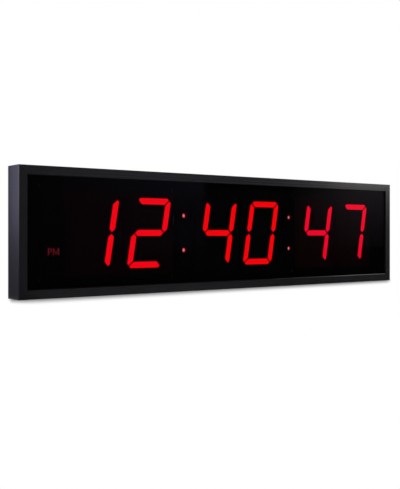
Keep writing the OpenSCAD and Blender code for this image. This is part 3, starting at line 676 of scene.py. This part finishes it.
# %% Starting a sign
PANEL_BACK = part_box("back_panel")[1].y
STROKE = 0.8 * MM
SIGN_ABOVE = 5.5 * MM
RING_CORNERS = 48
FACE_OUT = (-pi / 2, 0, 0)


def open_sign(name):
    """Name the primitive just added, and open it for editing."""
    sign = bpy.context.object
    sign.name = sign.data.name = name
    bpy.ops.object.transform_apply(location=True, rotation=True, scale=True)
    bpy.ops.object.mode_set(mode="EDIT")
    return sign


def start_square(name, middle):
    """A new sign of one small square."""
    bpy.ops.object.select_all(action="DESELECT")
    bpy.ops.mesh.primitive_plane_add(size=STROKE, location=middle, rotation=FACE_OUT)
    sign = open_sign(name)
    bpy.ops.mesh.select_mode(type="EDGE")
    return sign


def start_ring(name, middle, radius):
    """A new sign of one ring."""
    bpy.ops.object.select_all(action="DESELECT")
    bpy.ops.mesh.primitive_circle_add(
        vertices=RING_CORNERS, radius=radius, fill_type="NGON", location=middle, rotation=FACE_OUT
    )
    sign = open_sign(name)
    bpy.ops.mesh.select_mode(type="FACE")
    bpy.ops.mesh.select_all(action="SELECT")
    bpy.ops.mesh.inset(thickness=STROKE, depth=0)
    bpy.ops.mesh.delete(type="FACE")
    bpy.ops.mesh.select_mode(type="EDGE")
    return sign


def above(node):
    """The place of a sign, over the middle of a button."""
    button_low, button_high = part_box(node)
    return Vector(((button_low.x + button_high.x) / 2, PANEL_BACK, button_high.z + SIGN_ABOVE))


print(f"signs start on the panel at {PANEL_BACK:.4f}")

# %% [markdown]
# Drawing and finishing a sign
#
# Bars are drawn as by hand: one edge of a square is selected by its place and extruded. A Solidify
# modifier then gives the flat sign the thickness of a printed film, outwards from the panel.

# %% Drawing a sign
PRINT_T = 0.06 * MM
ALONG_X, ALONG_Z = Vector((1, 0, 0)), Vector((0, 0, 1))


def add_square(middle):
    """One more small square in the sign that is open."""
    bpy.ops.mesh.primitive_plane_add(size=STROKE, location=middle, rotation=FACE_OUT)


def draw_out(sign, middle, side, length):
    """Draw the square's edge on one side out into a bar."""
    mesh = bmesh.from_edit_mesh(sign.data)
    bpy.ops.mesh.select_all(action="DESELECT")
    wanted = middle + side * STROKE / 2
    for edge in mesh.edges:
        if ((edge.verts[0].co + edge.verts[1].co) / 2 - wanted).length < STROKE / 10:
            edge.select_set(True)
    bmesh.update_edit_mesh(sign.data)
    bpy.ops.mesh.extrude_region_move(TRANSFORM_OT_translate={"value": side * length})


def finish_sign(sign):
    """Thickness, finish and body of a sign."""
    bpy.ops.object.mode_set(mode="OBJECT")
    film = sign.modifiers.new("film", "SOLIDIFY")
    film.thickness = PRINT_T
    film.offset = 1.0
    bpy.ops.object.modifier_apply(modifier=film.name)
    dress(sign, FINISHES["panel_print"])
    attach(sign, "clock")
    print(f"{sign.name}: {len(sign.data.polygons)} faces")


print(f"print is {PRINT_T / MM:.2f} mm thick")

# %% [markdown]
# Plus and minus
#
# Both grow from one square: its left and right edges are drawn out for the minus, and the upper
# and lower ones too for the plus.

# %% Plus and minus
ARM = 2.2 * MM
for node, name, sides in (
    ("up_button", "plus_sign", (ALONG_X, -ALONG_X, ALONG_Z, -ALONG_Z)),
    ("down_button", "minus_sign", (ALONG_X, -ALONG_X)),
):
    middle = above(node)
    sign = start_square(name, middle)
    for side in sides:
        draw_out(sign, middle, side, ARM)
    finish_sign(sign)

# %% [markdown]
# Clock face
#
# The clock face is a ring. Its two hands grow from a square at its centre.

# %% Clock face
DIAL_R = 3.0 * MM
LONG_HAND, SHORT_HAND = 1.3 * MM, 0.8 * MM
middle = above("set_button")
sign = start_ring("clock_sign", middle, DIAL_R)
add_square(middle)
draw_out(sign, middle, ALONG_Z, LONG_HAND)
draw_out(sign, middle, -ALONG_X, SHORT_HAND)
finish_sign(sign)

# %% [markdown]
# Sun
#
# The sun is a smaller ring with one short ray above it. Spin then copies the ray round the centre:
# seven more, so that the last doesn't fall on the first.

# %% Sun
RAYS = 8
SUN_R = 1.7 * MM
RAY_OUT, RAY_LENGTH = 2.6 * MM, 0.6 * MM
middle = above("dimmer_button")
sign = start_ring("sun_sign", middle, SUN_R)
ray = middle + ALONG_Z * RAY_OUT
add_square(ray)
draw_out(sign, ray, ALONG_Z, RAY_LENGTH)
bpy.ops.mesh.select_linked()
bpy.ops.mesh.spin(
    steps=RAYS - 1, dupli=True, angle=2 * pi * (RAYS - 1) / RAYS, center=middle, axis=(0, 1, 0)
)
finish_sign(sign)

# %% [markdown]
# Direct current
#
# One long bar over three short ones. The first short bar is drawn out of a square and copied twice.

# %% Inlet sign
SIGN_BESIDE = 9 * MM
BAR_HALF = 3 * MM
DASHES = 3
DASH_BELOW, DASH_LENGTH, DASH_STEP = 1.8 * MM, 0.8 * MM, 2.6 * MM
cup_low, cup_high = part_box("inlet_cup")
middle = Vector((cup_high.x + SIGN_BESIDE, PANEL_BACK, (cup_low.z + cup_high.z) / 2))
sign = start_square("inlet_sign", middle)
draw_out(sign, middle, ALONG_X, BAR_HALF)
draw_out(sign, middle, -ALONG_X, BAR_HALF)
dash = middle - ALONG_Z * DASH_BELOW - ALONG_X * BAR_HALF
add_square(dash)
draw_out(sign, dash, ALONG_X, DASH_LENGTH)
bpy.ops.mesh.select_linked()
for repeat in range(DASHES - 1):
    bpy.ops.mesh.duplicate_move(TRANSFORM_OT_translate={"value": ALONG_X * DASH_STEP})
finish_sign(sign)

# %% [markdown]
# The world
#
# The room round the clock is one plain tone. The camera and reflections see it as white, while it
# lights the clock at a lower level. A bright room would do both at once, but would wash out the
# black. Light Path tells the kinds of rays apart.

# %% World
WORLD_LIGHT = 0.45
SEEN = ("Is Camera Ray", "Is Glossy Ray", "Is Transmission Ray")
world = bpy.data.worlds.new("studio")
bpy.context.scene.world = world
world.use_nodes = True


def any_ray(owner, names):
    """1 where the ray is of any of these kinds."""
    path = add_node(owner, "ShaderNodeLightPath")
    total = path.outputs[names[0]]
    for name in names[1:]:
        either = add_node(
            owner, "ShaderNodeMath", {0: total, 1: path.outputs[name]}, operation="MAXIMUM"
        )
        total = either.outputs["Value"]
    return total


background = world.node_tree.nodes["Background"]
background.inputs["Color"].default_value = (1, 1, 1, 1)
level = spread(world, any_ray(world, SEEN), WORLD_LIGHT, 1.0, 0.0, 1.0)
link(world, level, background, "Strength")
print(f"world lights at {WORLD_LIGHT} and shows as white")

# %% [markdown]
# Where the shadow falls
#
# The floor keeps a soft shadow close to the clock and is plain white further off. Six fades tell
# near from far: one for each side of the clock, and two across slanted lines that keep the floor
# clean past its left and right ends. The root of the sum of their squares rounds the corners. All
# are fixed on the floor, so the shadow stays in its place from any side.

# %% Shadow fades
SHADOW_REACH = 0.10
END_REACH = SHADOW_REACH / 2
PAST_LEFT = Vector((-0.9255, 0.379, 0))
PAST_RIGHT = Vector((0.642, -0.767, 0))
LEFT_LINE = PAST_LEFT @ Vector((CAD_LOW.x, CAD_HIGH.y, 0))
RIGHT_LINE = PAST_RIGHT @ Vector((CAD_HIGH.x, CAD_LOW.y, 0))
LEFT_SOFT = (-8 * MM, 2 * MM)
RIGHT_SOFT = (-10 * MM, 6 * MM)
SHADOW_FADES = (
    ((0, -1, 0), DEPTH / 2, DEPTH / 2 + SHADOW_REACH),
    ((0, 1, 0), DEPTH / 2, DEPTH / 2 + SHADOW_REACH),
    ((-1, 0, 0), WIDTH / 2, WIDTH / 2 + END_REACH),
    ((1, 0, 0), WIDTH / 2, WIDTH / 2 + END_REACH),
    (PAST_LEFT, LEFT_LINE + LEFT_SOFT[0], LEFT_LINE + LEFT_SOFT[1]),
    (PAST_RIGHT, RIGHT_LINE + RIGHT_SOFT[0], RIGHT_LINE + RIGHT_SOFT[1]),
)


def far_from_clock(material):
    """0 close to the clock, 1 where the shadow has died out."""
    spot = place_on(material)
    total = 0.0
    for towards, first, last in SHADOW_FADES:
        along = add_node(
            material, "ShaderNodeVectorMath", {0: spot, 1: towards}, operation="DOT_PRODUCT"
        ).outputs["Value"]
        part = spread(material, along, 0.0, 1.0, first, last)
        total = add_node(
            material, "ShaderNodeMath", {0: part, 1: part, 2: total}, operation="MULTIPLY_ADD"
        ).outputs["Value"]
    away = add_node(material, "ShaderNodeMath", {0: total}, operation="SQRT").outputs["Value"]
    far = add_node(material, "ShaderNodeMapRange", {"Value": away}, interpolation_type="SMOOTHSTEP")
    return far.outputs["Result"]


print(f"the shadow reaches {SHADOW_REACH:.2f} m from the clock")

# %% [markdown]
# The floor's finish
#
# Light that bounces meets a matt pale surface. What the camera and reflections see is plain white
# far from the clock, and near it a darker matt tone: painted shade that deepens the real shadow the
# lamps cast under the lower edge. A floor made white by stronger lamps would look the same, but they
# would also grey the black clock.

# %% Floor finish
# SHADE_TONE is painted shade: the floor's colour is darker near the clock.
BOUNCE_TONE, SHADE_TONE = 0.75, 0.55


def start_plain(name):
    """A new material without a shader."""
    material, shader = start_finish(name)
    material.node_tree.nodes.remove(shader)
    return material


def show(material, shader):
    """One wire from a shader to the material's output."""
    link(material, shader, material.node_tree.nodes["Material Output"], "Surface")


def make_floor_white():
    material = start_plain("floor white")
    bounce, shade = (
        add_node(material, "ShaderNodeBsdfDiffuse", {"Color": (tone, tone, tone, 1)}).outputs["BSDF"]
        for tone in (BOUNCE_TONE, SHADE_TONE)
    )
    plain = add_node(material, "ShaderNodeEmission", {"Strength": 1.0}).outputs["Emission"]
    far = far_from_clock(material)
    seen = add_node(material, "ShaderNodeMixShader", {"Fac": far, 1: shade, 2: plain})
    rays = add_node(
        material,
        "ShaderNodeMixShader",
        {"Fac": any_ray(material, SEEN), 1: bounce, 2: seen.outputs["Shader"]},
    )
    show(material, rays.outputs["Shader"])
    return material


floor_white = make_floor_white()
print(f"floor finish with {len(floor_white.node_tree.nodes)} nodes")

# %% [markdown]
# The floor
#
# The floor is one large plane that runs out of sight. It isn't part of the clock.

# %% Floor
FLOOR_HALF = 15.0


def add_plane(name, corners):
    """A flat quad through four corners, made from Blender's plane."""
    bpy.ops.object.select_all(action="DESELECT")
    bpy.ops.mesh.primitive_plane_add(size=1.0)
    plane = bpy.context.object
    plane.name = plane.data.name = name
    for vertex, corner in zip(plane.data.vertices, corners):
        vertex.co = corner
    return plane


def lying(x_ends, y_ends, z):
    """Corners of a plane that lies flat."""
    return [(x, y, z) for y in y_ends for x in x_ends]


floor = add_plane("floor", lying((-FLOOR_HALF, FLOOR_HALF), (-FLOOR_HALF, FLOOR_HALF), CAD_LOW.z))
dress(floor, floor_white)
print(f"floor at {CAD_LOW.z:.4f}")

# %% [markdown]
# Lamps
#
# Large lamps close by give soft shadows. One hangs overhead and slightly behind, so the shadow
# falls forwards under the lower edge. One stands on the left for the side, and a small one on the
# right gives the end of the frame its sheen. Together with the world they light the clock at
# about the level at which a colour looks as it is written.

# %% Softboxes
MIDDLE = (0, 0, HEIGHT / 2)
RIGHT_END = (WIDTH / 2, -DEPTH / 2, HEIGHT)
WHITE, COOL_WHITE = (1, 1, 1), (0.94, 0.97, 1.0)


def add_softbox(name, place, aim, size, watts, colour):
    """A square soft lamp that looks at a point."""
    lamp = bpy.data.lights.new(name, "AREA")
    lamp.size = size
    lamp.energy = watts
    lamp.color = colour
    box = bpy.data.objects.new(name, lamp)
    box.location = place
    box.rotation_euler = (Vector(aim) - Vector(place)).to_track_quat("-Z", "Y").to_euler()
    box.visible_camera = False
    bpy.context.scene.collection.objects.link(box)


add_softbox("overhead softbox", (0.0, 0.3, 2.0), MIDDLE, size=1.8, watts=26, colour=WHITE)
add_softbox("left softbox", (-2.2, -0.6, 1.3), MIDDLE, size=1.4, watts=14, colour=COOL_WHITE)
add_softbox("right softbox", (0.77, -0.33, 0.37), RIGHT_END, size=0.22, watts=0.52, colour=WHITE)
print("three softboxes")

# %% [markdown]
# Flags and cards
#
# A photographer who shoots a black window sets up black flags, or it would mirror the white room,
# and adds a few pale cards where a soft sheen is wanted. These do the same. Only reflections see
# them: they are hidden from the camera, from soft light and from shadows. Each one is a plane that
# gives off its own tone, so that no lamp changes it. A card may fade in along X and along Z, by
# Map Range nodes on its Object coordinates: a fade names the two places and the share that shows
# at the first.


# %% Card helpers
def make_card(name, colour, level, fade_x=None, fade_z=None):
    """A card of one tone that may fade in along X and Z."""
    material = start_plain(name)
    glow = add_node(material, "ShaderNodeEmission", {"Color": (*colour, 1), "Strength": level})
    shader = glow.outputs["Emission"]
    along = add_node(material, "ShaderNodeSeparateXYZ", {"Vector": place_on(material)})
    for axis, fade in (("X", fade_x), ("Z", fade_z)):
        if fade is None:
            continue
        start, stop, first = fade
        shown = add_node(
            material,
            "ShaderNodeMapRange",
            {"Value": along.outputs[axis], "From Min": start, "From Max": stop, "To Min": first},
            interpolation_type="SMOOTHSTEP",
        ).outputs["Result"]
        clear = add_node(material, "ShaderNodeBsdfTransparent").outputs["BSDF"]
        mixed = add_node(material, "ShaderNodeMixShader", {"Fac": shown, 1: clear, 2: shader})
        shader = mixed.outputs["Shader"]
    show(material, shader)
    return material


def standing(ends, top, bottom=CAD_LOW.z):
    """Corners of an upright card between two places on the floor."""
    return [(x, y, z) for z in (bottom, top) for x, y in ends]


def add_card(name, corners, finish):
    """A card that only reflections see."""
    card = add_plane(name, corners)
    card.visible_camera = False
    card.visible_diffuse = False
    card.visible_shadow = False
    card.visible_transmission = False
    dress(card, finish)


print("card helpers ready")

# %% [markdown]
# Black flags
#
# A flag is a card that gives off almost nothing. A wide one stands far off in front and another lies
# on the floor before the clock, so that the window is black. Two wings close the sides, and one
# flag overhead keeps the top of the room out of the frame.

# %% Flags
FLAG_Y = -3.0
FLAG_X = (-6.0, 12.0)
FLAG_TOP = 2.2
WING_X = 6.0
ROOF_X, ROOF_Y, ROOF_Z = (-3.0, 1.25), (-1.5, 1.5), 1.2
CARD_LIFT = 0.3 * MM
NEAR_Y = CAD_LOW.y - 5 * MM
black = make_card("flag black", WHITE, level=0.003)
add_card("front_flag", standing([(x, FLAG_Y) for x in FLAG_X], FLAG_TOP), black)
add_card("floor_flag", lying(FLAG_X, (FLAG_Y, NEAR_Y), CAD_LOW.z + CARD_LIFT), black)
for name, x in (("left_wing_flag", -WING_X), ("right_wing_flag", WING_X)):
    add_card(name, standing([(x, FLAG_Y), (x, -FLAG_Y)], FLAG_TOP), black)
add_card("overhead_flag", lying(ROOF_X, ROOF_Y, ROOF_Z), black)
print("five flags")

# %% [markdown]
# Veils in front of the flags
#
# Four thin veils lift the black here and there. The window mirrors a cool one left of its middle,
# where its right edge shows, and a warmer one at its right end. A third stands higher, for the
# upper half of the cool one. The fourth lies on the floor just before the clock, where only the
# bottom rail mirrors it.

# %% Veils
VEIL_Y = FLAG_Y + 0.1
UPPER_Y = VEIL_Y + 0.1
COOL_X = (0.7, 2.06)
WARM_X = (2.85, 7.0)
UPPER_BOTTOM = 0.6
RAIL_X, RAIL_Y = (-0.41, 0.7), (-0.165, NEAR_Y)
cool_veil = make_card(
    "cool veil", (0.71, 0.62, 1.0), level=0.75, fade_x=(0.7, 2.1, 0.1), fade_z=(0.2, 1.2, 0.05)
)
warm_veil = make_card(
    "warm veil", (1.0, 0.82, 0.95), level=0.85, fade_x=(2.8, 3.7, 0.1), fade_z=(0.0, 1.2, 0.06)
)
upper_veil = make_card("upper veil", (0.84, 0.80, 1.0), level=1.0, fade_x=(0.7, 1.9, 0.25))
floor_veil = make_card("floor veil", (0.95, 0.93, 1.0), level=0.18, fade_x=(0.15, -0.05, 0.3))
add_card("cool_veil", standing([(x, VEIL_Y) for x in COOL_X], FLAG_TOP), cool_veil)
add_card("warm_veil", standing([(x, VEIL_Y) for x in WARM_X], FLAG_TOP), warm_veil)
add_card("upper_veil", standing([(x, UPPER_Y) for x in COOL_X], FLAG_TOP, UPPER_BOTTOM), upper_veil)
add_card("floor_veil", lying(RAIL_X, RAIL_Y, CAD_LOW.z + 2 * CARD_LIFT), floor_veil)
print("four veils")

# %% [markdown]
# The card at the right
#
# A small bright card over the right end, level with the top, is mirrored by one narrow face alone:
# the bevel along the inner edge of the bottom rail. It draws the thin pale line there.

# %% Right card
EDGE_X = (CAD_HIGH.x + 50 * MM, CAD_HIGH.x + 300 * MM)
EDGE_Y = (-0.12, 0.04)
EDGE_Z = 0.25
edge_glow = make_card("edge card", WHITE, level=2.5)
add_card("edge_card", lying(EDGE_X, EDGE_Y, EDGE_Z), edge_glow)
print("one card at the right")

# %% [markdown]
# The cards at the left
#
# The left side mirrors what stands behind it on the left. A tall pale blue card there gives the
# upper half its cool sheen. A low dusky card in front of it, one close behind the clock and one on
# the floor let the sheen die away downwards: the satin metal blurs the edge of the low card into
# a long soft fall.

# %% Left cards
TALL_ENDS, TALL_TOP = ((-4.2, 0.9), (1.2, 3.3)), 3.0
LOW_ENDS, LOW_TOP = ((-1.18, 0.435), (-0.257, 0.82)), 0.115
REAR_Y, REAR_TOP = 0.06, 0.6
REAR_ENDS = ((CAD_LOW.x - 21 * MM, REAR_Y), (CAD_LOW.x, REAR_Y))
SIDE_X = (CAD_LOW.x - 1.6, CAD_LOW.x - 4 * MM)
SIDE_Y = (-0.3, 3.0)
pale_blue = make_card("pale blue card", (0.70, 0.68, 0.97), level=1.5)
dusk_blue = make_card("dusk card", (0.83, 0.82, 1.0), level=0.080)
add_card("tall_card", standing(TALL_ENDS, TALL_TOP), pale_blue)
add_card("low_card", standing(LOW_ENDS, LOW_TOP), dusk_blue)
add_card("rear_card", standing(REAR_ENDS, REAR_TOP), dusk_blue)
add_card("side_floor_card", lying(SIDE_X, SIDE_Y, CAD_LOW.z + CARD_LIFT), dusk_blue)
print("four cards at the left")

# %% [markdown]
# A flash for the front edge
#
# The edge between the left side and the front has a thin bright line. Its bevel looks half to the
# left and half forwards, so it mirrors one more card that stands far out there. The card fades
# towards the floor, and the line with it.

# %% Edge flash
FLASH_ENDS, FLASH_TOP = ((-1.9, -0.95), (-1.9, -0.25)), 0.8
flash = make_card("edge flash card", (0.92, 0.92, 1.0), level=4.0, fade_z=(0.0, 0.32, 0.0))
add_card("edge_flash_card", standing(FLASH_ENDS, FLASH_TOP), flash)
print("one card for the front edge")

# %% [markdown]
# The end of the scene
#

# %% End
print("scene dressed")
